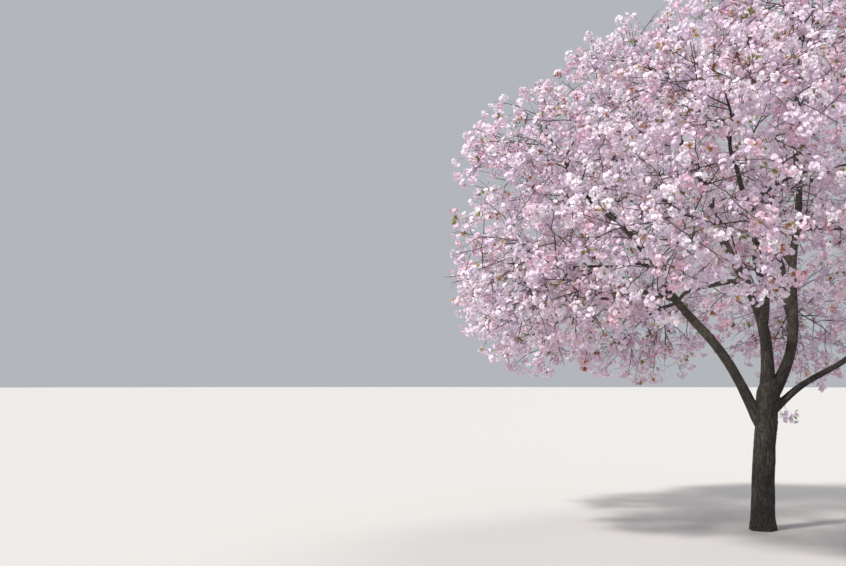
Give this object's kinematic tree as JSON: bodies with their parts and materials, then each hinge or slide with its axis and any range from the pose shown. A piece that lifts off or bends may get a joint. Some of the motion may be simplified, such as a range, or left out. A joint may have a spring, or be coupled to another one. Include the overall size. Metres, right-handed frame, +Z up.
{
  "type": "flowering cherry tree",
  "caption": "Double-flowered cherry tree in full bloom: a leaning trunk that forks low, rising and spreading boughs, and a wide open dome of pale pink blossom.",
  "frame": {"origin": "middle of the flat cut under the trunk, at ground level", "axes": "+Z up; -Y is the side from which the fork and the rising boughs show; +X is the side to which the trunk leans"},
  "size_m": [6.7713, 6.8134, 6.0936],
  "materials": {
    "bark": "rough",
    "blossom": "soft matte"
  },
  "bodies": {
    "root": {"trunk": "bark", "bough_back": "bark", "bough_front": "bark", "bough_left": "bark", "bough_right": "bark", "bough_rising_left": "bark", "bough_rising_right": "bark", "branch_inner_1": "bark", "branch_inner_2": "bark", "branch_middle_1": "bark", "branch_middle_3": "bark", "branch_middle_6": "bark", "branch_skirt_2": "bark", "branch_skirt_3": "bark", "branch_skirt_4": "bark", "branch_skirt_5": "bark", "branch_skirt_6": "bark", "branch_skirt_7": "bark", "branch_skirt_8": "bark", "branch_top_1": "bark", "branch_upper_3": "bark", "blossom_inner_1": "blossom", "blossom_inner_2": "blossom", "blossom_middle_1": "blossom", "blossom_middle_2": "blossom", "blossom_middle_3": "blossom", "blossom_middle_4": "blossom", "blossom_middle_5": "blossom", "blossom_middle_6": "blossom", "blossom_skirt_1": "blossom", "blossom_skirt_2": "blossom", "blossom_skirt_3": "blossom", "blossom_skirt_4": "blossom", "blossom_skirt_5": "blossom", "blossom_skirt_6": "blossom", "blossom_skirt_7": "blossom", "blossom_skirt_8": "blossom", "blossom_top_1": "blossom", "blossom_upper_1": "blossom", "blossom_upper_2": "blossom", "blossom_upper_3": "blossom"}
  },
  "joints": []
}
